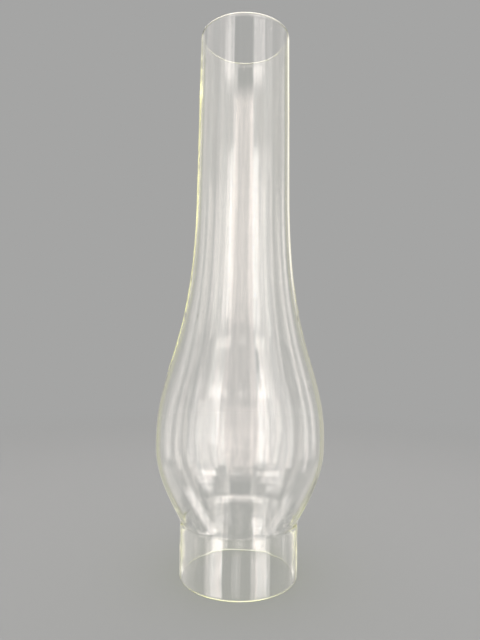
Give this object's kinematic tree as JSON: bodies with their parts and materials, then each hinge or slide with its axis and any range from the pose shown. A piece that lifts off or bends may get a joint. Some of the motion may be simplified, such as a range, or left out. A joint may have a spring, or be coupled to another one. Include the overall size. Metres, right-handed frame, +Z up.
{
  "type": "oil lamp chimney",
  "caption": "Clear glass chimney for an oil lamp: a straight collar, a round bulge and a long tapering tube, open at both ends.",
  "frame": {"origin": "centre of the collar's flat foot, on the surface that the chimney stands on", "axes": "+Z up along the chimney's axis, from the foot of the collar to the mouth of the tube"},
  "size_m": [0.0944, 0.0944, 0.3048],
  "materials": {
    "clear_glass": "clear, smooth and glossy, with a very faint green tint that shows only along the edges"
  },
  "bodies": {
    "root": {"glass_chimney": "clear_glass"}
  },
  "joints": []
}
